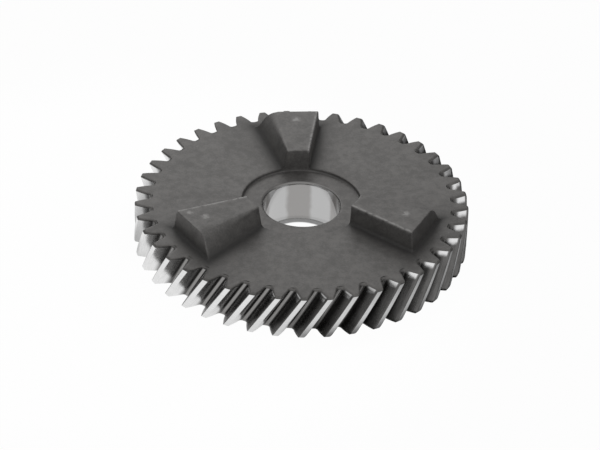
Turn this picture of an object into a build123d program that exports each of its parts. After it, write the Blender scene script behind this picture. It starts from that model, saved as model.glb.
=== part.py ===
from build123d import *
import os
from math import acos, atan, cos, degrees, pi, radians, sin, sqrt, tan

# Helical gear, all in one piece: a toothed disc with a plain bore, a shallow round recess about the bore and
# three driving lugs on the upper face. Millimetres and degrees. +Z runs up the bore, and the origin is the middle
# of the bore at the lower face.

# teeth
TEETH = 41
NORMAL_MODULE = 1.05
PRESSURE_ANGLE = 20.0
HELIX_ANGLE = 30.0                # right hand: a tooth leans to the right on its way up
ROOT_CLEARANCE = 0.26             # how much further in than the module the roots lie from the pitch circle
FACE_WIDTH = 7.5
TOOTH_TURN = 4.2                  # from +X to the middle of a tooth, at the upper face
ROOT_ROUNDING = 0.3
TIP_ROUNDING = 0.1
RIM_CHAMFER = 0.25                # on the tooth ends, above and below

# bore and recess
BORE_DIAMETER = 12.0
BORE_CHAMFER = 0.2
RECESS_WIDTH = 3.3                # from the bore's wall out to the recess's wall
RECESS_DEPTH = 0.55

# driving lugs
LUG_COUNT = 3
LUG_HEIGHT = 3.25
LUG_TURN = 90.0                   # from +X to the middle of the first lug
LUG_HALF_ANGLE = 10.7             # from the middle of the top to each of its two sides
RIM_LAND = 3.0                    # from the roots of the teeth in to the middle of the outer end, at the top
DRIVE_LEAN = 0.5                  # the steep side: how far round its foot lies beyond its top edge
RAMP_LEAN = 5.0                   # the sloping side: how far round its foot lies beyond its top edge
END_LEAN = 0.35                   # the outer end: how far out its foot lies beyond its top edge
FOOT_ROUNDING = 0.45
EDGE_ROUNDING = 0.2

# construction
OVERRUN = 1.0                     # how far a cutting or joining body runs past the faces that it crosses
NEAR = 0.001                      # edges this close to a height lie at it
FLANK_POINTS = 5                  # points of the involute that each flank's curve passes through

# tooth geometry in the plane square to the axis
transverse_module = NORMAL_MODULE / cos(radians(HELIX_ANGLE))
transverse_angle = atan(tan(radians(PRESSURE_ANGLE)) / cos(radians(HELIX_ANGLE)))
pitch_radius = transverse_module * TEETH / 2
tip_radius = pitch_radius + NORMAL_MODULE
root_radius = pitch_radius - NORMAL_MODULE - ROOT_CLEARANCE
base_radius = pitch_radius * cos(transverse_angle)
turn_per_mm = tan(radians(HELIX_ANGLE)) / pitch_radius

# heights and radii that several features share
upper_face = FACE_WIDTH
recess_floor = upper_face - RECESS_DEPTH
lug_top = upper_face + LUG_HEIGHT
bore_radius = BORE_DIAMETER / 2
recess_radius = bore_radius + RECESS_WIDTH
lug_reach = root_radius - RIM_LAND


def polar(radius, angle, z=0.0):
    """Point at a radius and an angle in radians."""
    return Vector(radius * cos(angle), radius * sin(angle), z)


def involute(radius):
    """Angle in radians that the involute of the base circle has turned through at a radius."""
    pressure = acos(base_radius / radius)
    return tan(pressure) - pressure


def half_tooth(radius):
    """Angle in radians from the middle of a tooth to its flank at a radius."""
    return pi / TEETH / 2 + involute(pitch_radius) - involute(radius)


def rounding(circle, rounded, into_tooth):
    """Arc that joins the flank to the root circle or to the tip circle.

    The flank moved sideways is the same involute turned about the axis, which gives the arc's centre.
    Returns the arc's middle radius and angle, and the radius at which the arc meets the flank.
    """
    side = -1 if into_tooth else 1
    middle = circle + side * rounded
    angle = half_tooth(middle) + side * rounded / base_radius
    string = sqrt(middle ** 2 - base_radius ** 2) - side * rounded
    return middle, angle, sqrt(base_radius ** 2 + string ** 2)


def arc_between(start, end, centre, rounded):
    """Small rounding arc through the point that lies between its ends."""
    middle = centre + ((start + end) / 2 - centre).normalized() * rounded
    return ThreePointArc(start, middle, end)


def tooth_edges(turn):
    """Edges of one tooth and of the root beside it, on the side of greater angle."""
    root_middle, root_angle, root_meet = rounding(root_radius, ROOT_ROUNDING, False)
    tip_middle, tip_angle, tip_meet = rounding(tip_radius, TIP_ROUNDING, True)
    radii = [root_meet + (tip_meet - root_meet) * step / (FLANK_POINTS - 1) for step in range(FLANK_POINTS)]
    edges = []
    for side in (-1, 1):
        flank = [polar(radius, turn + side * half_tooth(radius)) for radius in radii]
        root = polar(root_radius, turn + side * root_angle)
        tip = polar(tip_radius, turn + side * tip_angle)
        edges.append(arc_between(root, flank[0], polar(root_middle, turn + side * root_angle), ROOT_ROUNDING))
        edges.append(Spline(*flank))
        edges.append(arc_between(flank[-1], tip, polar(tip_middle, turn + side * tip_angle), TIP_ROUNDING))
    tip_ends = [polar(tip_radius, turn - tip_angle), polar(tip_radius, turn), polar(tip_radius, turn + tip_angle)]
    edges.append(ThreePointArc(*tip_ends))
    half_pitch = pi / TEETH
    gap_angles = [turn + root_angle, turn + half_pitch, turn + 2 * half_pitch - root_angle]
    edges.append(ThreePointArc(*[polar(root_radius, angle) for angle in gap_angles]))
    return edges


def toothed_prism(bottom, top):
    """All the teeth as one twisted prism between two heights."""
    first = radians(TOOTH_TURN) - turn_per_mm * (upper_face - bottom)
    edges = []
    for index in range(TEETH):
        edges += tooth_edges(first + index * 2 * pi / TEETH)
    outline = Face(Wire([edge for line in edges for edge in line.edges()])).moved(Location((0, 0, bottom)))
    height = top - bottom
    twist = degrees(turn_per_mm * height)
    return Solid.extrude_linear_with_rotation(outline, (0, 0, bottom), (0, 0, height), twist)


def disc():
    """The gear's blank: a disc with its two rims broken."""
    blank = round_tool(tip_radius, 0, upper_face)
    return chamfer(blank.edges().filter_by(GeomType.CIRCLE), RIM_CHAMFER)


def lug_section(z, lean):
    """Lug's outline at a height. Lean is 0 at the lug's top and 1 at the upper face."""
    drive = radians(-LUG_HALF_ANGLE - DRIVE_LEAN * lean)
    ramp = radians(LUG_HALF_ANGLE + RAMP_LEAN * lean)
    reach = lug_reach + END_LEAN * lean
    corners = [(bore_radius, drive), (reach / cos(drive), drive), (reach / cos(ramp), ramp), (bore_radius, ramp)]
    return Wire.make_polygon([polar(radius, angle, z) for radius, angle in corners], close=True)


def lug():
    """One driving lug about +X, with its side walls carried a little way into the disc."""
    sunk = OVERRUN / LUG_HEIGHT
    body = Solid.make_loft([lug_section(upper_face - OVERRUN, 1 + sunk), lug_section(lug_top, 0)], ruled=True)
    return Part() + body


def edges_at(body, height):
    """Edges that lie flat at a height."""
    return body.edges().filter_by_position(Axis.Z, height - NEAR, height + NEAR)


def from_axis(edge):
    """Distance from the bore's axis to the middle of an edge."""
    return Vector(edge.center().X, edge.center().Y).length


def is_bore_mouth(edge):
    """Whether an edge is a round edge at the bore's wall."""
    return edge.geom_type == GeomType.CIRCLE and abs(edge.radius - bore_radius) < NEAR


def round_tool(radius, bottom, top):
    """Cylinder about the bore's axis between two heights."""
    tool = Cylinder(radius, top - bottom, align=(Align.CENTER, Align.CENTER, Align.MIN))
    return Pos(0, 0, bottom) * tool


def gear():
    """The whole gear as one solid."""
    body = disc()
    step = 360 / LUG_COUNT
    for index in range(LUG_COUNT):
        body += Rot(0, 0, LUG_TURN + index * step) * lug()
    face_edges = edges_at(body, upper_face).filter_by(GeomType.CIRCLE, reverse=True)
    body = fillet([edge for edge in face_edges if from_axis(edge) > bore_radius], FOOT_ROUNDING)
    body -= round_tool(recess_radius, recess_floor, lug_top + OVERRUN)
    body = fillet(edges_at(body, lug_top), EDGE_ROUNDING)
    body -= round_tool(bore_radius, 0, upper_face)
    body = chamfer([edge for edge in body.edges() if is_bore_mouth(edge)], BORE_CHAMFER)
    return body & toothed_prism(-OVERRUN, lug_top + OVERRUN)


os.makedirs("parts", exist_ok=True)
helical_gear = gear().solid()
export_step(helical_gear, "parts/helical_gear.step")
print("tip diameter", 2 * tip_radius, "root diameter", 2 * root_radius, "lug reach", lug_reach)
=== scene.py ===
"""Looks of a helical gear with three driving lugs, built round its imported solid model.

The gear is made again here as one fine mesh with rounded, worn edges, and each kind of surface on it has a finish of
its own. Sizes are in millimetres and degrees, as in the solid model, until a mesh goes to Blender in metres.
"""

from __future__ import annotations

import logging
import math
from dataclasses import dataclass, field
from enum import IntEnum

import bpy
import numpy as np
from mathutils import Matrix, Vector

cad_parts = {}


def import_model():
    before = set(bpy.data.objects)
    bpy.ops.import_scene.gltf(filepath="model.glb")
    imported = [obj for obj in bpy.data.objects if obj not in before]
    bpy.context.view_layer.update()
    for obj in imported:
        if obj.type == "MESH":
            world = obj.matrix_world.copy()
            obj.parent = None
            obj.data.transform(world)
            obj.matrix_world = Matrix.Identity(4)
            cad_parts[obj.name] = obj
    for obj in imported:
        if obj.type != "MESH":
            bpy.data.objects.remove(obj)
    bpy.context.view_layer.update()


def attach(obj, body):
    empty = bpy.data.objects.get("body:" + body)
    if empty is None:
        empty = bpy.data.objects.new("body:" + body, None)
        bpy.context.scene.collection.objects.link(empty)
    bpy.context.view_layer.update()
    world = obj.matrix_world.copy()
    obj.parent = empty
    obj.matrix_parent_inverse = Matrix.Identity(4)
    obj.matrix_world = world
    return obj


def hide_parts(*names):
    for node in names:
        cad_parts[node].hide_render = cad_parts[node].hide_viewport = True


LOG = logging.getLogger("gear")
METRES = 0.001
FULL_TURN = 2 * math.pi
TINY = 1e-12
NODE = "helical_gear"

Array = np.ndarray
Span = tuple[float, float]
Point = tuple[float, float, float]
Colour = tuple[float, float, float, float]
Tones = tuple[Colour, Colour]
Socket = bpy.types.NodeSocket


# ---------------- sizes


@dataclass(frozen=True)
class GearSizes:
    """Driving sizes of the gear, as in the solid model but for the teeth's own roundings, which are softer here."""

    teeth: int = 41
    normal_module: float = 1.05
    pressure_angle: float = 20.0
    helix_angle: float = 30.0
    root_clearance: float = 0.26
    face_width: float = 7.5
    tooth_turn: float = 4.2
    root_rounding: float = 0.42
    tip_rounding: float = 0.16
    rim_chamfer: float = 0.25
    bore_diameter: float = 12.0
    bore_chamfer: float = 0.2
    recess_width: float = 3.3
    recess_depth: float = 0.55
    lug_count: int = 3
    lug_height: float = 3.25
    lug_turn: float = 90.0
    lug_half_angle: float = 10.7
    rim_land: float = 3.0
    drive_lean: float = 0.5
    ramp_lean: float = 5.0
    end_lean: float = 0.35
    foot_rounding: float = 0.45
    edge_rounding: float = 0.2

    @property
    def transverse_angle(self) -> float:
        """Pressure angle in the plane square to the axis, in radians."""
        return math.atan(math.tan(math.radians(self.pressure_angle)) / math.cos(math.radians(self.helix_angle)))

    @property
    def pitch_radius(self) -> float:
        """Radius of the pitch circle."""
        return self.normal_module / math.cos(math.radians(self.helix_angle)) * self.teeth / 2

    @property
    def base_radius(self) -> float:
        """Radius of the circle that the flanks unroll from."""
        return self.pitch_radius * math.cos(self.transverse_angle)

    @property
    def tip_radius(self) -> float:
        """Radius over the teeth."""
        return self.pitch_radius + self.normal_module

    @property
    def root_radius(self) -> float:
        """Radius at the bottom of the gaps."""
        return self.pitch_radius - self.normal_module - self.root_clearance

    @property
    def turn_per_mm(self) -> float:
        """Radians that the teeth turn through for each millimetre up the axis."""
        return math.tan(math.radians(self.helix_angle)) / self.pitch_radius

    @property
    def bore_radius(self) -> float:
        """Radius of the bore."""
        return self.bore_diameter / 2

    @property
    def recess_radius(self) -> float:
        """Radius of the recess, which is also where the lugs begin."""
        return self.bore_radius + self.recess_width

    @property
    def lug_reach(self) -> float:
        """Distance from the axis to the middle of a lug's outer end, at the top."""
        return self.root_radius - self.rim_land


class Surface(IntEnum):
    """Kinds of surface on the gear, in the order of the mesh's material slots."""

    FACE = 0
    FLANK = 1
    TIP = 2
    BORE = 3


# ---------------- rounded form of the lugs and the recess


def round_axis(radius: Array | float, angle: Array | float, height: Array | float) -> Array:
    """Points at radii, angles in radians and heights, with the coordinates along the last axis."""
    return np.stack(np.broadcast_arrays(radius * np.cos(angle), radius * np.sin(angle), height), axis=-1)


def bell(away: Array, reach: float) -> Array:
    """Strength of a mark at a distance from its middle: 1 there, and little beyond its reach."""
    return np.exp(-(away / reach) ** 2)


def rounded_meet(first: Array, second: Array, radius: float) -> Array:
    """Distance to what two bodies share, with the edge between them rounded. Distances are negative inside."""
    corner = np.hypot(np.maximum(first + radius, 0.0), np.maximum(second + radius, 0.0))
    return np.minimum(np.maximum(first, second), -radius) + corner


def rounded_join(first: Array, second: Array, radius: float) -> Array:
    """Distance to two bodies together, with a fillet in the corner between them."""
    return -rounded_meet(-first, -second, radius)


@dataclass(frozen=True)
class Dent:
    """A small dish knocked into the top of a lug."""

    turn: float
    reach: float
    across: float
    depth: float

    def ball(self, height: float) -> tuple[Array, float]:
        """Centre and radius of the ball that presses the dish into a surface at a height."""
        radius = (self.across ** 2 / 4 + self.depth ** 2) / (2 * self.depth)
        return round_axis(self.reach, math.radians(self.turn), height + radius - self.depth), radius


@dataclass(frozen=True)
class Marks:
    """How strong wear and painted shade are on the lugs, and how far they reach from the edge or corner that they
    follow.
    """

    top_edge: float = 0.25
    top_reach: float = 0.22
    drive_edge: float = 2.2
    drive_reach: float = 0.32
    post: float = 0.4
    post_reach: float = 0.25
    post_foot: float = 0.25         # share of the lug's height, at its foot, where upright edges are not worn
    dent: float = 3.0
    dent_reach: float = 0.4         # share of the dent's width
    # Painted shade at the lugs' feet and on the face beside them.
    foot: float = 1.3
    foot_reach: float = 1.0
    foot_slope: float = 1.8         # how much faster the painted shade fades up a wall than along the face
    # Painted shade in the corner round the recess's floor.
    recess_edge: float = 0.35
    recess_reach: float = 0.35


@dataclass(frozen=True)
class LuggedForm:
    """The upper side of the gear as one distance function, with z measured from the upper face."""

    sizes: GearSizes
    dents: tuple[Dent, ...] = ()
    marks: Marks = Marks()
    end_rounding: float = 0.14
    ramp_rounding: Span = (0.2, 1.3)    # of the sloping side's top edge, at the lug's inner and outer end
    ramp_growth: float = 1.5
    rim_rounding: float = 0.2
    floor_rounding: float = 0.26
    dent_rounding: float = 0.05
    rounds: int = 8
    probe: float = 1e-4
    least_slope: float = 0.05

    def local_angle(self, x: Array, y: Array) -> Array:
        """Angle in radians from the middle of the nearest lug.

        Args:
            x: Coordinates along X.
            y: Coordinates along Y.

        Returns:
            The angles, up to half a lug's share of the turn each way.
        """
        step = FULL_TURN / self.sizes.lug_count
        angle = np.arctan2(y, x) - math.radians(self.sizes.lug_turn) + step / 2
        return np.mod(angle, step) - step / 2

    def walls(self, points: Array) -> tuple[Array, Array, Array, Array]:
        """Distances to the walls of the nearest lug, each negative on the lug's side.

        Args:
            points: One point a row.

        Returns:
            Distances to the sloping side, the steep side, the outer end and the inner end.
        """
        sizes = self.sizes
        x, y, z = points.T
        radius, angle = np.hypot(x, y), self.local_angle(x, y)
        sunk = 1 - z / sizes.lug_height
        ramp_lean, drive_lean = math.radians(sizes.ramp_lean), math.radians(sizes.drive_lean)
        half = math.radians(sizes.lug_half_angle)
        ramp = radius * np.sin(angle - half - ramp_lean * sunk)
        ramp = ramp / np.hypot(1.0, ramp_lean * radius / sizes.lug_height)
        drive = -radius * np.sin(angle + half + drive_lean * sunk)
        drive = drive / np.hypot(1.0, drive_lean * radius / sizes.lug_height)
        end = radius * np.cos(angle) - sizes.lug_reach - sizes.end_lean * sunk
        end = end / math.hypot(1.0, sizes.end_lean / sizes.lug_height)
        return ramp, drive, end, sizes.recess_radius - radius

    def distance(self, points: Array) -> Array:
        """Signed distance from each point to the upper side.

        Args:
            points: One point a row.

        Returns:
            The distances, negative inside the gear.
        """
        sizes = self.sizes
        ramp, drive, end, inner = self.walls(points)
        z = points[:, 2]
        out = np.interp(np.hypot(points[:, 0], points[:, 1]), (sizes.recess_radius, sizes.lug_reach), (0.0, 1.0))
        rolled = self.ramp_rounding[0] + (self.ramp_rounding[1] - self.ramp_rounding[0]) * out ** self.ramp_growth
        lug = rounded_meet(ramp, z - sizes.lug_height, rolled)
        lug = rounded_meet(rounded_meet(lug, end, self.end_rounding), drive, sizes.edge_rounding)
        for dent in self.dents:
            centre, radius = dent.ball(sizes.lug_height)
            outside = radius - np.linalg.norm(points - centre, axis=1)
            lug = rounded_meet(lug, outside, self.dent_rounding)
        whole = rounded_join(lug, z, sizes.foot_rounding)
        kept = rounded_join(inner, z + sizes.recess_depth, self.floor_rounding)
        return rounded_meet(whole, kept, self.rim_rounding)

    def settle(self, points: Array) -> Array:
        """Moves points onto the upper side.

        Args:
            points: Points near it, one a row.

        Returns:
            The moved points.
        """
        for _ in range(self.rounds):
            here = self.distance(points)
            ahead = [self.distance(points + self.probe * axis) for axis in np.eye(3)]
            slope = (np.stack(ahead, axis=1) - here[:, None]) / self.probe
            steepness = np.maximum((slope ** 2).sum(axis=1), self.least_slope)
            points = points - slope * (here / steepness)[:, None]
        return points

    def wear(self, points: Array) -> Array:
        """How worn each point is: most on the lugs' edges and where they are dented.

        Args:
            points: One point a row.

        Returns:
            The wear, from 0 up.
        """
        marks, height, z = self.marks, self.sizes.lug_height, points[:, 2]
        ramp, drive, end, inner = self.walls(points)
        outline = np.maximum.reduce([ramp, drive, end, inner])
        top = marks.top_edge * bell(np.hypot(z - height, outline), marks.top_reach)
        driven = marks.drive_edge * bell(np.hypot(z - height, drive), marks.drive_reach) * (end < 0) * (inner < 0)
        post = marks.post * bell(np.hypot(np.maximum(ramp, drive), end), marks.post_reach)
        worn = np.maximum.reduce([top, driven, post * (z > marks.post_foot * height)])
        for dent in self.dents:
            centre, _ = dent.ball(height)
            away = np.hypot(points[:, 0] - centre[0], points[:, 1] - centre[1])
            worn = np.maximum(worn, marks.dent * bell(away, marks.dent_reach * dent.across) * (z > 0))
        return worn

    def painted_shade(self, points: Array) -> Array:
        """How dark each point is painted as shade in corners: at the lugs' feet and round the recess.

        Args:
            points: One point a row.

        Returns:
            The painted shade, from 0 to 1.
        """
        marks, z = self.marks, points[:, 2]
        ramp, drive, end, inner = self.walls(points)
        outside = np.maximum(np.maximum.reduce([ramp, drive, end]), 0.0)
        away = np.hypot(outside, marks.foot_slope * np.maximum(z, 0.0))
        foot = np.minimum(marks.foot * np.exp(-away / marks.foot_reach), 1.0)
        rim = bell(np.hypot(inner, z + self.sizes.recess_depth), marks.recess_reach)
        return np.maximum(foot * (inner < 0), marks.recess_edge * rim)


# ---------------- mesh parts


def placed(name: str, data: bpy.types.ID) -> bpy.types.Object:
    """Puts a mesh, lamp or camera into the scene.

    Args:
        name: Name of the object.
        data: What the object shows.

    Returns:
        The object.
    """
    made = bpy.data.objects.new(name, data)
    bpy.context.scene.collection.objects.link(made)
    return made


@dataclass
class MeshParts:
    """Points and faces of one mesh, gathered piece by piece."""

    points: list[Array] = field(default_factory=list)
    faces: list[Array] = field(default_factory=list)
    surfaces: list[Array] = field(default_factory=list)
    count: int = 0

    def add_points(self, points: Array) -> Array:
        """Adds points and returns their numbers, in the same layout.

        Args:
            points: Points, with the coordinates along the last axis.

        Returns:
            The numbers of the points.
        """
        flat = points.reshape(-1, 3)
        numbers = np.arange(self.count, self.count + len(flat)).reshape(points.shape[:-1])
        self.points.append(flat)
        self.count += len(flat)
        return numbers

    def add_faces(self, faces: Array, surfaces: Array | int) -> None:
        """Adds triangles or quads of one or several kinds of surface."""
        self.faces.append(faces)
        self.surfaces.append(np.broadcast_to(np.asarray(surfaces), (len(faces),)))

    def add_band(self, numbers: Array, surfaces: Array | int) -> None:
        """Adds the quads between rings of points that close on themselves.

        Args:
            numbers: Point numbers, one ring a row.
            surfaces: Kind of surface of all the quads, of each ring of them, or of each.
        """
        after = np.roll(numbers, -1, axis=1)
        quads = np.stack([numbers[:-1], after[:-1], after[1:], numbers[1:]], axis=-1).reshape(-1, 4)
        self.add_faces(quads, np.broadcast_to(np.asarray(surfaces), numbers[:-1].shape).reshape(-1))

    def add_zip(self, inner: Array, inner_angles: Array, outer: Array, outer_angles: Array, upward: bool) -> None:
        """Joins two rings that have different numbers of points with triangles.

        Args:
            inner: Point numbers of the inner ring, anticlockwise.
            inner_angles: Their angles, rising.
            outer: Point numbers of the outer ring, anticlockwise.
            outer_angles: Their angles, rising.
            upward: Whether the triangles face up.
        """
        start = int(np.argmin(np.abs(np.mod(outer_angles - inner_angles[0] + math.pi, FULL_TURN) - math.pi)))
        outer = np.roll(outer, -start)
        outer_angles = np.mod(np.roll(outer_angles, -start) - inner_angles[0] + math.pi, FULL_TURN) - math.pi
        outer_angles = np.unwrap(outer_angles)
        inner_angles = np.unwrap(inner_angles - inner_angles[0])
        inner_ring, outer_ring = np.append(inner, inner[0]), np.append(outer, outer[0])
        inner_at = np.append(inner_angles, FULL_TURN)
        outer_at = np.append(outer_angles, outer_angles[0] + FULL_TURN)
        triangles, i, j = [], 0, 0
        while i < len(inner) or j < len(outer):
            step_inner = j == len(outer) or (i < len(inner) and inner_at[i + 1] <= outer_at[j + 1])
            beyond = inner_ring[i + 1] if step_inner else outer_ring[j + 1]
            triangles.append((inner_ring[i], outer_ring[j], beyond))
            i, j = (i + 1, j) if step_inner else (i, j + 1)
        found = np.array(triangles)
        self.add_faces(found if upward else found[:, ::-1], Surface.FACE)

    def build(self, name: str, layers: dict[str, Array]) -> bpy.types.Object:
        """Makes the Blender object.

        Args:
            name: Name of the object.
            layers: Numbers that the finishes read from the points, by name.

        Returns:
            The object, with smooth shading that keeps the flats flat.
        """
        points = np.concatenate(self.points) * METRES
        faces = [row for block in self.faces for row in block.tolist()]
        mesh = bpy.data.meshes.new(name)
        mesh.from_pydata(points.tolist(), [], faces)
        mesh.polygons.foreach_set("material_index", np.concatenate(self.surfaces).astype(np.int32))
        for layer, numbers in layers.items():
            mesh.attributes.new(layer, "FLOAT", "POINT").data.foreach_set("value", numbers.astype(np.float32))
        mesh.validate()
        mesh.update()
        mesh.polygons.foreach_set("use_smooth", np.ones(len(mesh.polygons), bool))
        mesh.normals_split_custom_set_from_vertices(self.flat_keeping_normals(mesh).tolist())
        return placed(name, mesh)

    @staticmethod
    def flat_keeping_normals(mesh: bpy.types.Mesh) -> Array:
        """Normals at the points, in which a large face counts for more than a small one.

        Args:
            mesh: The mesh.

        Returns:
            One normal a row.
        """
        total = len(mesh.polygons)
        areas, normals = np.zeros(total), np.zeros(total * 3)
        mesh.polygons.foreach_get("area", areas)
        mesh.polygons.foreach_get("normal", normals)
        weighted = normals.reshape(-1, 3) * areas[:, None]
        loops, sides = np.zeros(len(mesh.loops), np.int32), np.zeros(total, np.int32)
        mesh.loops.foreach_get("vertex_index", loops)
        mesh.polygons.foreach_get("loop_total", sides)
        summed = np.zeros((len(mesh.vertices), 3))
        np.add.at(summed, loops, weighted[np.repeat(np.arange(total), sides)])
        return summed / np.maximum(np.linalg.norm(summed, axis=1, keepdims=True), TINY)


# ---------------- teeth


@dataclass(frozen=True)
class ToothOutline:
    """Outline of one tooth and half of the gap on each side, square to the axis."""

    sizes: GearSizes
    tip_points: int = 4
    rounding_points: int = 3
    flank_points: int = 6
    root_points: int = 4
    gap_points: int = 3
    least_rounding: float = 0.02

    def half_angle(self, radius: float, inset: float) -> float:
        """Angle from the middle of the tooth to its flank.

        Args:
            radius: Radius at which the angle is wanted.
            inset: How far the flank is set back.

        Returns:
            The angle in radians.
        """
        sizes = self.sizes
        at_pitch = math.tan(sizes.transverse_angle) - sizes.transverse_angle
        pressure = math.acos(sizes.base_radius / radius)
        turned = math.tan(pressure) - pressure
        return math.pi / sizes.teeth / 2 + at_pitch - turned - inset / sizes.base_radius

    def rounding(self, circle: float, radius: float, into_tooth: bool, inset: float) -> tuple[complex, complex, float]:
        """Arc that joins the flank to the root circle or to the tip circle.

        Args:
            circle: Radius of that circle.
            radius: Radius of the arc.
            into_tooth: True at the tip and False at the root.
            inset: How far the flank is set back.

        Returns:
            The arc's centre, its end on the circle, and the radius at which it meets the flank.
        """
        side = -1 if into_tooth else 1
        base = self.sizes.base_radius
        middle = circle + side * radius
        angle = self.half_angle(middle, inset) + side * radius / base
        string = math.sqrt(middle ** 2 - base ** 2) - side * radius
        turned = complex(math.cos(angle), math.sin(angle))
        return middle * turned, circle * turned, math.hypot(base, string)

    @staticmethod
    def arc(centre: complex, start: complex, end: complex, count: int) -> Array:
        """Points along a short arc.

        Args:
            centre: Its centre.
            start: Its first point.
            end: Where it ends.
            count: How many points it has, without the end.

        Returns:
            The points as complex numbers.
        """
        first, last = start - centre, end - centre
        sweep = math.remainder(np.angle(last) - np.angle(first), FULL_TURN)
        return centre + first * np.exp(1j * sweep * np.arange(count) / count)

    def half(self, inset: float, tip_radius: float) -> Array:
        """Points from the middle of the tip to the middle of the gap.

        Args:
            inset: How far the whole outline is set back into the tooth.
            tip_radius: Radius of the tip circle there.

        Returns:
            The points as complex numbers, at rising angles.
        """
        sizes = self.sizes
        root_radius = sizes.root_radius - inset
        tip_corner = max(sizes.tip_rounding - inset, self.least_rounding)
        tip_centre, tip_end, tip_meet = self.rounding(tip_radius, tip_corner, True, inset)
        root_centre, root_end, root_meet = self.rounding(root_radius, sizes.root_rounding + inset, False, inset)
        radii = np.linspace(tip_meet, root_meet, self.flank_points)
        flank = np.array([radius * np.exp(1j * self.half_angle(radius, inset)) for radius in radii])
        tip = tip_radius * np.exp(1j * np.linspace(0, np.angle(tip_end), self.tip_points + 1)[:-1])
        gap_angles = np.linspace(np.angle(root_end), math.pi / sizes.teeth, self.gap_points)
        return np.concatenate([
            tip,
            self.arc(tip_centre, tip_end, flank[0], self.rounding_points),
            flank[:-1],
            self.arc(root_centre, flank[-1], root_end, self.root_points),
            root_radius * np.exp(1j * gap_angles),
        ])

    def ring(self, inset: float, tip_radius: float, turn: float) -> Array:
        """Outline of all the teeth.

        Args:
            inset: How far the whole outline is set back.
            tip_radius: Radius of the tip circle.
            turn: Angle of the first tooth's middle, in radians.

        Returns:
            The points as complex numbers.
        """
        half = self.half(inset, tip_radius)
        tooth = np.concatenate([np.conj(half[:0:-1]), half[:-1]])
        turns = turn + np.arange(self.sizes.teeth) * FULL_TURN / self.sizes.teeth
        return (np.exp(1j * turns)[:, None] * tooth[None, :]).reshape(-1)

    def surfaces(self) -> tuple[Array, Array]:
        """Kind of surface of the strip that starts at each point of the ring.

        Returns:
            The kinds below the rounded upper ends, and those on them, where only the dull flank keeps its own.
        """
        half_count = self.tip_points + self.rounding_points + self.flank_points - 1 + self.root_points + self.gap_points
        positions = np.arange(-(half_count - 1), half_count - 1)
        corner = self.tip_points + self.rounding_points
        on_tip = (positions >= -self.tip_points) & (positions < corner)
        on_dull_flank = (positions >= 1 - corner - self.flank_points) & (positions < -self.tip_points)
        between = np.where(on_tip, Surface.TIP, Surface.FLANK)
        ends = np.where(on_dull_flank, Surface.FLANK, Surface.FACE)
        return np.tile(between, self.sizes.teeth), np.tile(ends, self.sizes.teeth)


@dataclass(frozen=True)
class ToothedRim:
    """The teeth's wall, from the lower face's edge to the upper one's."""

    sizes: GearSizes
    edge_rounding: float = 0.38
    edge_shares: tuple[float, ...] = (0.0, 0.03, 0.12, 0.27, 0.5, 0.75, 1.0, 1.4)
    lower_reach: float = 0.62
    lower_drop: float = 0.5
    dark_edge: float = 0.2
    slices: int = 13

    def heights(self) -> Array:
        """Heights of the slices, from the lower face to the upper one.

        Returns:
            The heights, rising.
        """
        shares = np.array(self.edge_shares)
        lower, upper = self.lower_reach * shares, self.sizes.face_width - self.edge_rounding * shares[::-1]
        return np.concatenate([lower, np.linspace(lower[-1], upper[0], self.slices)[1:-1], upper])

    def slice_at(self, height: float) -> Array:
        """Ring of points round the teeth, drawn in near the faces by the rounded ends.

        Args:
            height: Height of the ring.

        Returns:
            One point a row.
        """
        sizes = self.sizes
        lower = height < sizes.face_width / 2
        depth = height if lower else sizes.face_width - height
        left = max(1 - depth / (self.lower_reach if lower else self.edge_rounding), 0.0)
        fall = 1 - math.sqrt(1 - left ** 2)
        inset = self.edge_rounding * fall
        drop = self.lower_drop * fall if lower else max(inset, sizes.rim_chamfer - depth)
        turn = math.radians(sizes.tooth_turn) + sizes.turn_per_mm * (height - sizes.face_width)
        ring = ToothOutline(sizes).ring(inset, sizes.tip_radius - drop, turn)
        return np.stack([ring.real, ring.imag, np.full(len(ring), height)], axis=-1)

    def add_to(self, parts: MeshParts) -> tuple[Array, Array]:
        """Adds the wall to the mesh.

        Args:
            parts: The mesh's parts.

        Returns:
            Numbers of the points round the lower and the upper edge.
        """
        heights = self.heights()
        numbers = parts.add_points(np.stack([self.slice_at(height) for height in heights]))
        depth = (self.sizes.face_width - (heights[:-1] + heights[1:]) / 2)[:, None]
        between, ends = ToothOutline(self.sizes).surfaces()
        kinds = np.where(depth < self.edge_rounding, ends, between)
        parts.add_band(numbers, np.where(depth < self.dark_edge, Surface.FACE, kinds))
        return numbers[0], numbers[-1]


# ---------------- faces and bore


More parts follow.
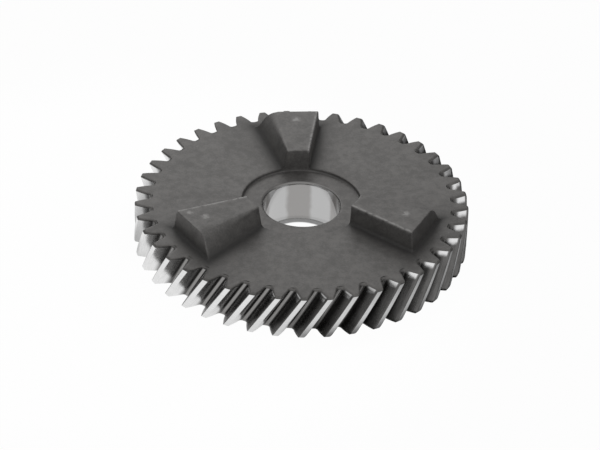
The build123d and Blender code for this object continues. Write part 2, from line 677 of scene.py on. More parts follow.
@dataclass(frozen=True)
class Faces:
    """Both faces of the gear and the bore between them, inside the teeth.

    Gaps are distances from an edge or a foot, and shares run up a wall or across a face.
    """

    sizes: GearSizes
    form: LuggedForm
    outer_gap: float = 0.55
    near_edge: tuple[float, ...] = (0.08, 0.17, 0.3, 0.5)
    wall_shares: tuple[float, ...] = (0.05, 0.1, 0.16, 0.26, 0.4, 0.55, 0.7, 0.82, 0.9, 0.945, 0.975)
    foot_gaps: tuple[float, ...] = (0.0, 0.1, 0.2, 0.32, 0.45, 0.65)
    corner_gaps: tuple[float, ...] = (0.3, 0.2, 0.12, 0.06)
    recess_shares: tuple[float, ...] = (0.0, 0.09, 0.18, 0.3, 0.45, 0.6, 0.75, 0.85)
    top_gaps: tuple[float, ...] = (0.14, 0.07, 0.0)
    least_top: float = 0.87
    rim_shares: tuple[float, ...] = (0.25, 0.5, 0.75, 1.0)
    top_margin: float = 0.15
    end_slack: float = 0.25         # how far short of the end's line the lowest lines turn down
    top_lines: int = 11
    far_lines: int = 40
    top_rows: int = 30
    floor_rows: int = 10
    under_rows: int = 14
    bore_rows: int = 8
    bore_margin: float = 0.6
    mouth_rise: float = 0.01
    mouth_softening: float = 0.05
    bore_edge: float = 0.7          # share of the bore's chamfer that still has the bore's finish

    @property
    def outer_radius(self) -> float:
        """Radius at which the grid stops and the toothed band begins."""
        return self.sizes.root_radius - self.outer_gap

    def lug_lines(self) -> Array:
        """Lines of the grid over one lug, from its steep side's foot to its sloping side's.

        Returns:
            One line a row: its angle in radians from the lug's middle, how many millimetres beyond that it runs, and
            the share of the lug's height that it climbs to.
        """
        half, inset = math.radians(self.sizes.lug_half_angle), self.near_edge[-1] + self.top_margin
        lines = [(share * half, -share * inset, 1.0) for share in np.linspace(-1, 1, self.top_lines)]
        for side, lean in ((-1, self.sizes.drive_lean), (1, self.sizes.ramp_lean)):
            foot = math.radians(lean)
            beside = [(side * half, -side * gap, 1.0) for gap in self.near_edge[::-1]]
            beside += [(side * (half + foot * (1 - share)), 0.0, share) for share in (1.0, *self.wall_shares[::-1])]
            beside += [(side * (half + foot), side * gap, 0.0) for gap in self.foot_gaps]
            lines = lines + beside if side > 0 else beside[::-1] + lines
        return np.array(lines)

    def columns(self, radius: Array) -> tuple[Array, Array]:
        """Angles and lifts of all the lines round the gear.

        Args:
            radius: Radii at which the angles are wanted.

        Returns:
            Angles in radians, one row a radius, and the share of the lug's height that each line climbs to.
        """
        angles, beyond, lifts = self.lug_lines().T
        over = angles + beyond / radius[:, None]
        lifts = np.append(lifts, np.zeros(self.far_lines))
        count = self.sizes.lug_count
        shares = np.arange(1, self.far_lines + 1) / (self.far_lines + 1)
        gap = over[:, :1] + FULL_TURN / count - over[:, -1:]
        sector = np.concatenate([over, over[:, -1:] + gap * shares], axis=1) + math.radians(self.sizes.lug_turn)
        turns = [sector + index * FULL_TURN / count for index in range(count)]
        return np.concatenate(turns, axis=1), np.tile(lifts, count)

    def angles_at(self, radii: Array) -> Array:
        """Angle of each line at that line's own radius."""
        angles, _ = self.columns(np.maximum(radii, self.sizes.recess_radius))
        return angles[np.arange(len(radii)), np.arange(len(radii))]

    def end_radius(self, angles: Array, height: Array) -> Array:
        """Radius of the lugs' outer end, carried on beside the lugs.

        Args:
            angles: Angles round the gear, in radians.
            height: Heights from the upper face.

        Returns:
            The radii.
        """
        sizes = self.sizes
        local = np.abs(self.form.local_angle(np.cos(angles), np.sin(angles)))
        widest = math.radians(sizes.lug_half_angle + sizes.ramp_lean)
        reach = sizes.lug_reach + sizes.end_lean * (1 - height / sizes.lug_height)
        return reach / np.cos(np.minimum(local, widest))

    def upper_rows(self) -> Array:
        """First layout of the upper side's points, before they settle onto its rounded form.

        Returns:
            Points, one ring a row, from the bore out. Heights are from the upper face.
        """
        sizes, edge, inner = self.sizes, self.near_edge, self.sizes.recess_radius
        angles, lifts = self.columns(np.array([inner]))
        floor, tall = -sizes.recess_depth, lifts * sizes.lug_height
        wall, mouth = tall - floor, sizes.bore_radius + sizes.bore_chamfer
        rows = [(radius, floor) for radius in np.linspace(mouth, inner - self.corner_gaps[0], self.floor_rows)]
        rows += [(inner - gap, floor) for gap in self.corner_gaps[1:]]
        rows += [(inner, floor + wall * share) for share in self.recess_shares]
        rows += [(inner, np.maximum(tall - gap, floor + wall * self.least_top)) for gap in self.top_gaps]
        rows += [(inner + gap, tall) for gap in edge[:-1]]
        start = inner + edge[-1]
        end = self.end_radius(angles[0], tall) - self.end_slack * (1 - lifts)
        rows += [(start + (end - edge[-1] - start) * share, tall) for share in np.linspace(0, 1, self.top_rows)]
        rows += [(end - gap, tall) for gap in edge[-2::-1]]
        foot = self.end_radius(angles[0], np.zeros_like(tall))
        rows += [(foot - (foot - end) * share, tall * share) for share in (1.0, *self.wall_shares[::-1], 0.0)]
        rows += [(foot + gap, 0.0) for gap in self.foot_gaps[1:]]
        last = foot + self.foot_gaps[-1]
        rows += [(last + (self.outer_radius - last) * share, 0.0) for share in self.rim_shares]
        radii, heights = (np.stack([np.broadcast_to(part, tall.shape) for part in kind]) for kind in zip(*rows))
        return round_axis(radii, np.stack([self.angles_at(row) for row in radii]), heights)

    def lower_rows(self) -> Array:
        """Points of the lower face and the bore.

        Returns:
            Points, one ring a row, from the face's outer ring in and up the bore.
        """
        sizes, bore, chamfer, soft = self.sizes, self.sizes.bore_radius, self.sizes.bore_chamfer, self.mouth_softening
        angles, _ = self.columns(np.array([sizes.recess_radius]))
        mouth, top = bore + chamfer, sizes.face_width - sizes.recess_depth
        profile = [(radius, 0.0) for radius in np.linspace(self.outer_radius, mouth + soft, self.under_rows)]
        profile += [(mouth, self.mouth_rise), (bore + soft, chamfer - soft), (bore, chamfer + soft)]
        profile += [(bore, height) for height in np.linspace(self.bore_margin, top - self.bore_margin, self.bore_rows)]
        profile += [(bore, top - chamfer - soft), (bore + soft, top - chamfer + soft)]
        radii, heights = np.array(profile).T[..., None]
        return round_axis(radii, angles, heights)

    def add_to(self, parts: MeshParts) -> tuple[Array, Array]:
        """Adds the faces and the bore to the mesh.

        Args:
            parts: The mesh's parts.

        Returns:
            Numbers of the points round the outer ring of the lower and of the upper face.
        """
        rows = self.upper_rows()
        settled = self.form.settle(rows.reshape(-1, 3)).reshape(rows.shape)
        settled[0], settled[-1] = rows[0], rows[-1]
        settled[..., 2] += self.sizes.face_width
        rings = np.concatenate([self.lower_rows(), settled])
        numbers = parts.add_points(rings)
        radii = np.hypot(rings[..., 0], rings[..., 1]).mean(axis=1)
        in_bore = (radii[:-1] + radii[1:]) / 2 < self.sizes.bore_radius + self.bore_edge * self.sizes.bore_chamfer
        kinds = np.where(in_bore, Surface.BORE, Surface.FACE)
        parts.add_band(numbers[::-1], kinds[::-1, None])
        return numbers[0], numbers[-1]


# ---------------- shader helpers


class Value:
    """A number in a shader: an output socket that takes Python's own arithmetic."""

    def __init__(self, nodes: Nodes, socket: Socket) -> None:
        """Wraps an output socket."""
        self.nodes = nodes
        self.socket = socket

    def math(self, operation: str, *others: Value | float) -> Value:
        """Result of a Math node on this value and what else it takes."""
        return self.nodes.math(operation, self, *others)

    def __add__(self, other: Value | float) -> Value:
        """Sum."""
        return self.math("ADD", other)

    def __sub__(self, other: Value | float) -> Value:
        """Difference."""
        return self.math("SUBTRACT", other)

    def __mul__(self, other: Value | float) -> Value:
        """Product."""
        return self.math("MULTIPLY", other)

    def __rsub__(self, other: float) -> Value:
        """Difference with the number first."""
        return self.nodes.math("SUBTRACT", other, self)

    __radd__ = __add__
    __rmul__ = __mul__

    def clamped(self) -> Value:
        """The value kept from 0 to 1."""
        return self.math("MAXIMUM", 0.0).math("MINIMUM", 1.0)

    def swing(self, amount: float) -> Value:
        """How far the value lies from one half, times an amount."""
        return (self - 0.5) * amount

    def blend(self, other: Value, share: float) -> Value:
        """The value with another's share in it."""
        return self * (1 - share) + other * share

    def rise(self, span: Span, base: float = 0.0) -> Value:
        """Smooth rise from 0 to 1 over a span, which is measured from a base."""
        inputs = {"Value": self, "From Min": base + span[0], "From Max": base + span[1]}
        return self.nodes.value("ShaderNodeMapRange", {"interpolation_type": "SMOOTHSTEP"}, inputs)

    def fall(self, span: Span, base: float = 0.0) -> Value:
        """Smooth fall from 1 to 0 over a span, which is measured from a base."""
        return 1 - self.rise(span, base)


class Nodes:
    """Nodes of a material or of the world."""

    def __init__(self, tree: bpy.types.NodeTree) -> None:
        """Starts with no nodes."""
        self.tree = tree
        self.tree.nodes.clear()

    def node(self, kind: str, settings: dict | None = None, inputs: dict | None = None) -> bpy.types.Node:
        """Adds a node.

        Args:
            kind: Blender's name of the node's type.
            settings: Its own settings, which are set first.
            inputs: Values or links of its sockets, by name or number.

        Returns:
            The node.
        """
        made = self.tree.nodes.new(kind)
        for name, value in (settings or {}).items():
            setattr(made, name, value)
        for name, value in (inputs or {}).items():
            self.feed(made.inputs[name], value)
        return made

    def feed(self, socket: Socket, value: object) -> None:
        """Links an output to a socket, or sets the socket's own value.

        Args:
            socket: The socket.
            value: A value, an output, or what the socket is set to.
        """
        if isinstance(value, Value):
            value = value.socket
        if isinstance(value, Socket):
            self.tree.links.new(value, socket)
        else:
            socket.default_value = value

    def value(self, kind: str, settings: dict, inputs: dict, output: str | int = 0) -> Value:
        """Adds a node and returns one of its outputs as a number."""
        return Value(self, self.node(kind, settings, inputs).outputs[output])

    def math(self, operation: str, *terms: Value | float) -> Value:
        """Adds a Math node on numbers or values."""
        return self.value("ShaderNodeMath", {"operation": operation}, dict(enumerate(terms)))

    def background_ray(self, camera: Value | float, gloss: Value | float) -> Value:
        """How much of the background a ray is shown.

        Args:
            camera: Share that the camera's own rays are shown.
            gloss: Share that reflected rays, and those through glass, are shown.

        Returns:
            That share, and 0 for the rays that only light things.
        """
        path = self.node("ShaderNodeLightPath")
        kinds = ("Camera", "Glossy", "Transmission")
        seen, glossy, through = (Value(self, path.outputs[f"Is {kind} Ray"]) for kind in kinds)
        return seen * camera + (glossy + through).clamped() * gloss


@dataclass(frozen=True)
class Noise:
    """Noise from 0 to 1, in spots of about one over scale."""

    scale: float
    detail: float = 3.0
    roughness: float = 0.55


@dataclass(frozen=True)
class Relief:
    """How strongly a height from 0 to 1 bends the light, and its depth in millimetres."""

    strength: float
    depth: float


class Shader(Nodes):
    """A material's nodes, which end in a Principled shader."""

    def __init__(self, name: str) -> None:
        """Makes the material.

        Args:
            name: Name of the material.
        """
        self.material = bpy.data.materials.new(name)
        self.material.use_nodes = True
        super().__init__(self.material.node_tree)
        self.output = self.node("ShaderNodeOutputMaterial")
        self.surface = self.node("ShaderNodeBsdfPrincipled")
        self.feed(self.output.inputs["Surface"], self.surface.outputs["BSDF"])

    def millimetres(self) -> Socket:
        """The point on the object, in millimetres."""
        inputs = {0: self.node("ShaderNodeTexCoord").outputs["Object"], "Scale": 1 / METRES}
        return self.node("ShaderNodeVectorMath", {"operation": "SCALE"}, inputs).outputs[0]

    def noise(self, place: Socket, noise: Noise) -> Value:
        """Noise at a place."""
        inputs = {"Vector": place, "Scale": noise.scale, "Detail": noise.detail, "Roughness": noise.roughness}
        return self.value("ShaderNodeTexNoise", {}, inputs)

    def streaks(self, place: tuple[Value | float, ...], stretch: Point, noise: Noise) -> Value:
        """Noise at three numbers, each of them scaled."""
        scaled = {index: number * scale for index, (number, scale) in enumerate(zip(place, stretch))}
        return self.noise(self.node("ShaderNodeCombineXYZ", {}, scaled).outputs[0], noise)

    def spots(self, place: Socket, scale: float, span: Span) -> Value:
        """Scattered round spots: 1 at their middles, and 0 between them."""
        inputs = {"Vector": place, "Scale": scale, "Randomness": 1.0}
        return self.value("ShaderNodeTexVoronoi", {}, inputs).fall(span)

    def mixed(self, share: Value, first: object, second: object) -> Socket:
        """Colour between two colours."""
        inputs = {0: share, 6: first, 7: second}
        return self.node("ShaderNodeMix", {"data_type": "RGBA"}, inputs).outputs[2]

    def cylinder(self, place: Socket) -> tuple[Value, Value, Value]:
        """Radius, angle in radians and height of a place.

        Args:
            place: The place.

        Returns:
            The three numbers.
        """
        apart = self.node("ShaderNodeSeparateXYZ", {}, {0: place})
        x, y, z = (Value(self, apart.outputs[index]) for index in range(3))
        return (x * x + y * y).math("SQRT"), y.math("ARCTAN2", x), z

    def layer(self, name: str) -> Value:
        """A number that the mesh holds at its points."""
        return self.value("ShaderNodeAttribute", {"attribute_name": name}, {}, "Fac")

    def finished(self, colour: Socket, metallic: float, rough: Value | float, relief: Relief | None = None,
                 height: Value | None = None) -> bpy.types.Material:
        """Feeds the Principled shader.

        Args:
            colour: Base colour.
            metallic: How metallic the surface is.
            rough: Roughness.
            relief: How the surface shows a height, if it does.
            height: That height.

        Returns:
            The material.
        """
        inputs = {"Base Color": colour, "Metallic": metallic, "Roughness": rough}
        if relief:
            fed = {"Strength": relief.strength, "Distance": relief.depth * METRES, "Height": height}
            inputs["Normal"] = self.node("ShaderNodeBump", {}, fed).outputs[0]
        for name, value in inputs.items():
            self.feed(self.surface.inputs[name], value)
        return self.material


def grey(level: float, warmth: float = 0.0) -> Colour:
    """A grey of a level, a little warmer or cooler."""
    return (level * (1 + warmth), level, level * (1 - warmth), 1.0)


# ---------------- finishes


@dataclass(frozen=True)
class DarkFace:
    """Dark, dull steel of the faces and lugs, as it came from the furnace, with wear and painted shade over it."""

    tones: Tones = (grey(0.09, 0.035), grey(0.139, 0.035))
    flecked: Colour = grey(0.3, 0.01)
    rubbed_and_highlight: Colour = grey(0.3, 0.02)
    painted_shade_colour: Colour = grey(0.034, 0.03)
    fleck_strength: float = 0.12
    rub_strength: float = 0.45
    painted_shade_strength: float = 0.95
    metallic: float = 0.55
    roughness: float = 0.48
    grain_roughness: float = 0.16
    rub_polish: float = 0.12
    painted_shade_dulling: float = 0.15
    painted_shade_mottle: float = 0.5
    grain: Noise = Noise(3.2, 4.0, 0.65)
    mottle: Noise = Noise(0.9, 3.0, 0.6)
    cloud: Noise = Noise(0.22)
    shares: Point = (0.4, 0.35, 0.25)
    tone_span: Span = (0.37, 0.63)
    pit_scale: float = 1.1
    pit_span: Span = (0.088, 0.22)
    pit_patches: Noise = Noise(0.5)
    pit_patch_span: Span = (0.5, 0.62)
    rub_patches: Noise = Noise(1.3)
    rub_patch_span: Span = (0.32, 0.62)
    pit_depth: float = 0.8
    relief: Relief = Relief(0.5, 0.02)

    def material(self) -> bpy.types.Material:
        """Builds the material.

        Returns:
            The material.
        """
        shader = Shader("dark_face")
        place = shader.millimetres()
        grain, mottle, cloud = (shader.noise(place, noise) for noise in (self.grain, self.mottle, self.cloud))
        pits = shader.spots(place, self.pit_scale, self.pit_span)
        pits = pits * shader.noise(place, self.pit_patches).rise(self.pit_patch_span)
        rub = (shader.layer("wear") * shader.noise(place, self.rub_patches).rise(self.rub_patch_span)).clamped()
        # Painted shade at the lugs' feet and round the recess, mottled. It also makes the steel rougher there.
        painted_shade = (shader.layer("painted_shade") * (1 + mottle.swing(self.painted_shade_mottle))).clamped()
        tone = grain * self.shares[0] + mottle * self.shares[1] + cloud * self.shares[2]
        colour = shader.mixed(tone.rise(self.tone_span), *self.tones)
        colour = shader.mixed(pits * self.fleck_strength, colour, self.flecked)
        colour = shader.mixed(rub * self.rub_strength, colour, self.rubbed_and_highlight)
        # The painted shade darkens the colour.
        colour = shader.mixed(painted_shade * self.painted_shade_strength, colour, self.painted_shade_colour)
        rough = self.roughness + grain.swing(self.grain_roughness) - rub * self.rub_polish + painted_shade * self.painted_shade_dulling
        return shader.finished(colour, self.metallic, rough, self.relief, grain - pits * self.pit_depth)


@dataclass(frozen=True)
class CutFlank:
    """Steel of the flanks and the gaps.

    The side of a tooth that drives is run bright. The other side is dull from hardening, and painted bright only at its
    upper end, as a highlight. The gaps are painted dark as shade, lighter in a strip along the bottom. Spans are
    distances from the roots or the tips, or from the upper face.
    """

    sizes: GearSizes
    dull: Tones = (grey(0.096, 0.02), grey(0.144, 0.02))
    driving: Tones = (grey(0.752), grey(0.848))
    # Colours of the painted shade in the gaps: dark, and lighter in the strip along the bottom.
    gap: Tones = (grey(0.1, 0.02), grey(0.28, 0.02))
    # Colour of the painted highlight at the dull flank's upper end.
    bright: Colour = grey(0.74)
    marks: Noise = Noise(1.0, 2.0)
    marks_stretch: Point = (7.0, 9.0, 0.6)
    cloud: Noise = Noise(0.8)
    cloud_share: float = 0.4
    tone_span: Span = (0.3, 0.7)
    side_span: Span = (-0.05, 0.05)
    end_span: Span = (0.495, 1.1)
    end_wander: float = 0.8
    above_root: Span = (0.35, 0.9)
    below_tip: Span = (-0.45, -0.2)
    gap_span: Span = (0.1, 1.2)
    strip_span: Span = (0.002, 0.025)
    dull_roughness: float = 0.28
    bright_roughness: float = 0.24
    cloud_roughness: float = 0.12
    relief: Relief = Relief(0.3, 0.01)

    def material(self) -> bpy.types.Material:
        """Builds the material.

        Returns:
            The material.
        """
        sizes, root = self.sizes, self.sizes.root_radius
        shader = Shader("cut_flank")
        place = shader.millimetres()
        radius, angle, height = shader.cylinder(place)
        along = angle - height * sizes.turn_per_mm
        marks = shader.streaks((radius, along, height), self.marks_stretch, self.marks)
        cloud = shader.noise(place, self.cloud)
        first = math.radians(sizes.tooth_turn) - sizes.turn_per_mm * sizes.face_width
        driving = ((along - first) * sizes.teeth).math("SINE").rise(self.side_span)
        # Painted highlight: a bright, glossier patch at the dull flank's upper end, clear of the root and the tip.
        end = (sizes.face_width - height + cloud.swing(self.end_wander)).fall(self.end_span)
        rubbed_and_highlight = end * radius.rise(self.above_root, root) * radius.fall(self.below_tip, sizes.tip_radius)
        # Painted shade: the gaps are darkened near the root, with a lighter strip along the bottom.
        sunk, strip = radius.fall(self.gap_span, root), radius.fall(self.strip_span, root)
        tone = marks.blend(cloud, self.cloud_share).rise(self.tone_span)
        dull = shader.mixed(rubbed_and_highlight, shader.mixed(tone, *self.dull), self.bright)
        flank = shader.mixed(driving, dull, shader.mixed(tone, *self.driving))
        colour = shader.mixed(sunk, flank, shader.mixed(strip, *self.gap))
        polish_and_highlight = (rubbed_and_highlight + driving).clamped() * (1 - sunk)
        rough = self.dull_roughness + cloud.swing(self.cloud_roughness)
        rough = rough - polish_and_highlight * (self.dull_roughness - self.bright_roughness)
        return shader.finished(colour, 1.0, rough, self.relief, marks)


@dataclass(frozen=True)
class TurnedTip:
    """Turned steel of the tip lands, with fine lines round the gear."""

    tones: Tones = (grey(0.736), grey(0.832))
    lines: Noise = Noise(1.0)
    lines_stretch: Point = (0.0, 3.0, 9.0)
    cloud: Noise = Noise(0.6)
    cloud_share: float = 0.4
    tone_span: Span = (0.3, 0.7)
    roughness: float = 0.16
    lines_roughness: float = 0.16
    relief: Relief = Relief(0.25, 0.006)

    def material(self) -> bpy.types.Material:
        """Builds the material.

        Returns:
            The material.
        """
        shader = Shader("turned_tip")
        place = shader.millimetres()
        _, angle, height = shader.cylinder(place)
        lines = shader.streaks((0.0, angle, height), self.lines_stretch, self.lines)
        tone = lines.blend(shader.noise(place, self.cloud), self.cloud_share).rise(self.tone_span)
        colour = shader.mixed(tone, *self.tones)
        rough = self.roughness + lines.swing(self.lines_roughness)
        return shader.finished(colour, 1.0, rough, self.relief, lines)


@dataclass(frozen=True)
class ReamedBore:
    """Bright reamed wall of the bore, with a painted reflection of soft light and dark bands along it, and fine lines
    round it.
    """

    sizes: GearSizes
    # Dark and light tones of the painted reflection bands.
    tones: Tones = (grey(0.33, 0.02), grey(0.5))
    edge: Colour = grey(0.2, 0.02)
    edge_span: Span = (0.01, 0.05)
    edge_roughness: float = 0.3
    lines: Noise = Noise(1.0)
    lines_stretch: Point = (0.0, 2.0, 11.0)
    cloud: Noise = Noise(0.5)
    # Painted reflection: how many light and dark bands run round the bore, where a dark one is centred, and how they
    # wander and blend.
    reflection_bands: int = 5
    reflection_band_turn: float = 90.0
    reflection_band_wander: float = 0.4
    reflection_band_span: Span = (0.3, 0.7)
    roughness: float = 0.1
    lines_roughness: float = 0.08
    relief: Relief = Relief(0.2, 0.004)

    def material(self) -> bpy.types.Material:
        """Builds the material.

        Returns:
            The material.
        """
        shader = Shader("reamed_bore")
        place = shader.millimetres()
        radius, angle, height = shader.cylinder(place)
        lines = shader.streaks((0.0, angle, height), self.lines_stretch, self.lines)
        # Painted reflection of light and dark bands round the bore, with a dark one centred at the given turn.
        phase = (angle - math.radians(self.reflection_band_turn)) * self.reflection_bands
        wander = shader.noise(place, self.cloud).swing(self.reflection_band_wander)
        reflection_band = (0.5 - phase.math("COSINE") * 0.5 + wander).rise(self.reflection_band_span)
        edge = radius.rise(self.edge_span, self.sizes.bore_radius)
        colour = shader.mixed(edge, shader.mixed(reflection_band, *self.tones), self.edge)
        rough = self.roughness + lines.swing(self.lines_roughness) + edge * self.edge_roughness
        return shader.finished(colour, 1.0, rough, self.relief, lines)


# ---------------- the gear


@dataclass(frozen=True)
class Gear:
    """The whole gear: teeth, faces, lugs and bore in one mesh."""

    sizes: GearSizes
    dents: tuple[Dent, ...]
    finishes: tuple[DarkFace, CutFlank, TurnedTip, ReamedBore]
    join_gap: float = 0.28
    wear_from: float = 0.1          # height over the upper face
    painted_shade_margin: float = 0.05

    def build(self) -> bpy.types.Object:
        """Builds and dresses the gear.

        Returns:
            The gear, which stands for the solid model's node.
        """
        form = LuggedForm(self.sizes, self.dents)
        parts = MeshParts()
        lower_rim, upper_rim = ToothedRim(self.sizes).add_to(parts)
        lower_ring, upper_ring = Faces(self.sizes, form).add_to(parts)
        self.close(parts, lower_rim, lower_ring, False)
        self.close(parts, upper_rim, upper_ring, True)
        above = np.concatenate(parts.points) - (0.0, 0.0, self.sizes.face_width)
        worn = above[:, 2] > self.wear_from
        # Painted shade is kept to the upper side, down to just under the recess's floor.
        upper = above[:, 2] > -self.sizes.recess_depth - self.painted_shade_margin
        made = parts.build("gear", {"wear": form.wear(above) * worn, "painted_shade": form.painted_shade(above) * upper})
        for finish in self.finishes:
            made.data.materials.append(finish.material())
        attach(made, "root")
        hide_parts(NODE)
        return made

    def close(self, parts: MeshParts, rim: Array, ring: Array, upward: bool) -> None:
        """Joins the teeth's edge to a face's outer ring.

        Args:
            parts: The mesh's parts.
            rim: Point numbers round the teeth's edge.
            ring: Point numbers round the face's outer ring.
            upward: Whether the face looks up.
        """
        points = np.concatenate(parts.points)
        rim_angles, ring_angles = (np.arctan2(points[numbers, 1], points[numbers, 0]) for numbers in (rim, ring))
        radius = self.sizes.root_radius - self.join_gap
        inner = parts.add_points(round_axis(radius, rim_angles, points[rim[0], 2]))
        parts.add_band(np.stack([rim, inner] if upward else [inner, rim]), Surface.FACE)
        parts.add_zip(ring, np.unwrap(ring_angles), inner, np.unwrap(rim_angles), upward)


# ---------------- studio


@dataclass(frozen=True)
class Viewpoint:
    """Where the photograph was taken from, measured from the bore's axis at the upper face."""

    turn: float = -4.82
    elevation: float = 34.686
    roll: float = -2.109
    distance: float = 620.6
    right: float = 0.275
    up: float = 3.71
    lens: float = 240.0
    sensor: float = 36.0
    clip: Span = (0.01, 20.0)

    def build(self, face_height: float) -> bpy.types.Object:
        """Makes the camera.

        Args:
            face_height: Height of the upper face.

        Returns:
            The camera, which is the scene's.
        """
        turn, tilt, roll = (math.radians(angle) for angle in (self.turn, 90 - self.elevation, -self.roll))
        facing = Matrix.Rotation(turn, 3, "Z") @ Matrix.Rotation(tilt, 3, "X") @ Matrix.Rotation(roll, 3, "Z")
        place = Vector((0.0, 0.0, face_height)) + facing @ Vector((-self.right, -self.up, self.distance))
        camera = bpy.data.cameras.new("camera")
        camera.lens, camera.sensor_width, camera.sensor_fit = self.lens, self.sensor, "HORIZONTAL"
        camera.clip_start, camera.clip_end = self.clip
        made = placed("camera", camera)
        made.matrix_world = Matrix.LocRotScale(place * METRES, facing, None)
        bpy.context.scene.camera = made
        return made


@dataclass(frozen=True)
class SoftBox:
    """A square softbox that looks at the gear. Azimuth is from +X, and lengths are in metres."""

    name: str
    azimuth: float
    elevation: float
    distance: float
    across: float
    power: float

    def build(self) -> bpy.types.Object:
        """Makes the lamp.

        Returns:
            The lamp.
        """
        turn, tilt = math.radians(self.azimuth), math.radians(self.elevation)
        away = Vector((math.cos(turn) * math.cos(tilt), math.sin(turn) * math.cos(tilt), math.sin(tilt)))
        light = bpy.data.lights.new(self.name, "AREA")
        light.shape, light.size, light.energy = "SQUARE", self.across, self.power
        made = placed(self.name, light)
        made.location = away * self.distance
        made.rotation_mode = "QUATERNION"
        made.rotation_quaternion = away.to_track_quat("Z", "Y")
        return made


@dataclass(frozen=True)
class DimSide:
    """A side of the surroundings that is dimmer in the metal. Angles are from its middle, at azimuth."""

    azimuth: float
    starts: float
    full: float
    depth: float

    def kept(self, nodes: Nodes) -> Value:
        """Share of the surroundings' light that is left in each direction.

        Args:
            nodes: The world's nodes.

        Returns:
            The share.
        """
        turn, starts, full = (math.radians(angle) for angle in (self.azimuth, self.starts, self.full))
        inputs = {0: nodes.node("ShaderNodeTexCoord").outputs["Generated"], 1: (math.cos(turn), math.sin(turn), 0.0)}
        ahead = nodes.value("ShaderNodeVectorMath", {"operation": "DOT_PRODUCT"}, inputs, "Value")
        return 1 - ahead.rise((math.cos(starts), math.cos(full))) * self.depth


@dataclass(frozen=True)
class Pool:
    """A round area of the table, in millimetres: whole out to the first radius of its span and gone at the second."""

    middle: Point
    span: Span

    def outside(self, shader: Shader, place: Socket) -> Value:
        """How far a place is out of the area, from 0 to 1."""
        inputs = {0: place, 1: self.middle}
        return shader.value("ShaderNodeVectorMath", {"operation": "DISTANCE"}, inputs, "Value").rise(self.span)


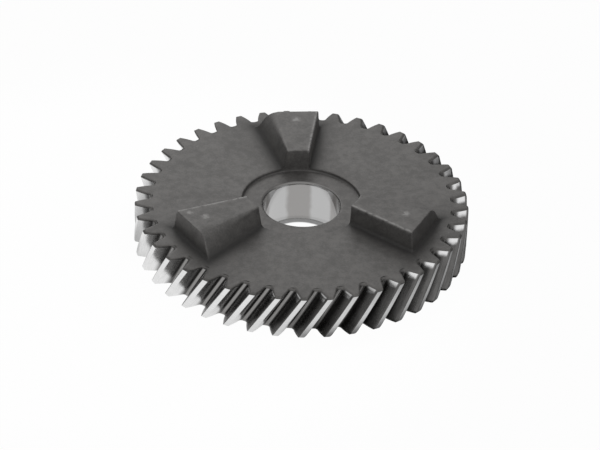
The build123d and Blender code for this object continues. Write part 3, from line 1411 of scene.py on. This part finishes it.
@dataclass(frozen=True)
class Studio:
    """White table top, pale surroundings and softboxes.

    The table is bright in the metal within one area, and dark beyond it and in a shade at the gear's front right. A
    contact shade lies round the gear, but for its lit front left, and one in the corner under the bore.
    """

    boxes: tuple[SoftBox, ...]
    sizes: GearSizes
    table_across: float = 8.0
    table_roughness: float = 0.9
    table_glow: float = 0.98
    table_gloss: float = 0.9
    white: Colour = grey(0.9)
    far: Colour = grey(0.12)
    corner: Colour = grey(0.5)
    bright: Pool = Pool((-25.0, -5.0, 0.0), (40.0, 62.0))
    shade: Pool = Pool((11.0, -14.0, 0.0), (14.0, 33.0))
    shade_depth: float = 0.45
    lit: Pool = Pool((-19.0, -20.0, 0.0), (13.5, 21.0))
    contact_span: Span = (0.3, 4.5)
    contact_depth: float = 0.92
    under_gear: Span = (-2.0, 0.0)
    corner_starts: Span = (-1.1, -0.7)
    corner_ends: Span = (0.2, 0.4)
    corner_shade: float = 0.9
    corner_gloss: float = 0.15
    surround: float = 0.6
    dims: tuple[DimSide, ...] = (DimSide(35.0, 57.0, 47.0, 0.76), DimSide(165.0, 62.0, 35.0, 0.55))

    def build(self) -> None:
        """Makes the table, the world and the lamps."""
        self.table()
        self.world()
        for box in self.boxes:
            box.build()

    def table(self) -> bpy.types.Object:
        """Makes the white table, which keeps the gear's shadow.

        Returns:
            The table.
        """
        half = self.table_across / 2
        mesh = bpy.data.meshes.new("table")
        mesh.from_pydata([(-half, -half, 0), (half, -half, 0), (half, half, 0), (-half, half, 0)], [], [(0, 1, 2, 3)])
        mesh.materials.append(self.table_material())
        made = placed("table", mesh)
        return made

    def table_material(self) -> bpy.types.Material:
        """Builds the table's material, which glows white to the camera and, where it is bright, in the metal.

        Returns:
            The material.
        """
        shader, wall = Shader("table_white"), self.sizes.bore_radius
        place = shader.millimetres()
        radius, _, _ = shader.cylinder(place)
        far = self.bright.outside(shader, place)
        clear = radius.rise(self.under_gear, self.sizes.root_radius)
        shade = (1 - self.shade.outside(shader, place)) * clear
        corner = radius.rise(self.corner_starts, wall) * radius.fall(self.corner_ends, wall)
        contact = radius.fall(self.contact_span, self.sizes.tip_radius) * self.lit.outside(shader, place) * clear
        colour = shader.mixed(far, self.white, self.far)
        colour = shader.mixed(contact * self.contact_depth, colour, self.far)
        colour = shader.mixed(corner, colour, self.corner)
        dimmed = shade * self.shade_depth + contact * (self.contact_depth - self.shade_depth)
        gloss = (1 - far) * (1 - dimmed) * (1 - corner * self.corner_gloss) * self.table_gloss
        shown = shader.background_ray(self.table_glow * (1 - corner * self.corner_shade), gloss)
        glow = shader.node("ShaderNodeEmission", {}, {"Color": grey(1.0), "Strength": 1.0})
        blend = shader.node("ShaderNodeMixShader", {}, {0: shown, 1: shader.surface.outputs[0], 2: glow.outputs[0]})
        shader.feed(shader.output.inputs["Surface"], blend.outputs[0])
        return shader.finished(colour, 0.0, self.table_roughness)

    def world(self) -> bpy.types.World:
        """Makes the pale surroundings, which are white to the camera and in the metal.

        Returns:
            The world.
        """
        world = bpy.data.worlds.new("surroundings")
        world.use_nodes = True
        nodes = Nodes(world.node_tree)
        shine = nodes.background_ray(0.0, 1.0)
        for dim in self.dims:
            shine = shine * dim.kept(nodes)
        lighting = 1 - nodes.background_ray(1.0, 1.0)
        strength = lighting * self.surround + nodes.background_ray(1.0, 0.0) + shine
        sky = nodes.node("ShaderNodeBackground", {}, {"Color": grey(1.0), "Strength": strength})
        nodes.node("ShaderNodeOutputWorld", {}, {"Surface": sky.outputs[0]})
        bpy.context.scene.world = world
        return world


def main() -> None:
    """Builds the gear and the studio in order."""
    logging.basicConfig(level=logging.INFO, format="%(name)s: %(message)s")
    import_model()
    sizes = GearSizes()
    dents = (Dent(89.5, 18.2, 1.0, 0.06), Dent(331.4, 17.4, 1.1, 0.06), Dent(208.9, 17.7, 1.0, 0.06),
             Dent(199.5, 15.2, 0.9, 0.05), Dent(202.4, 19.3, 0.8, 0.05))
    gear = Gear(sizes, dents, (DarkFace(), CutFlank(sizes), TurnedTip(), ReamedBore(sizes))).build()
    LOG.info("gear: %d points, %d faces", len(gear.data.vertices), len(gear.data.polygons))
    Viewpoint().build(sizes.face_width)
    boxes = (SoftBox("back", 95.0, 25.0, 0.13, 0.11, 0.024),)
    Studio(boxes, sizes).build()
    LOG.info("studio: %d softboxes", len(boxes))
    bpy.context.scene.view_settings.view_transform = "Standard"


if __name__ == "__main__":
    main()
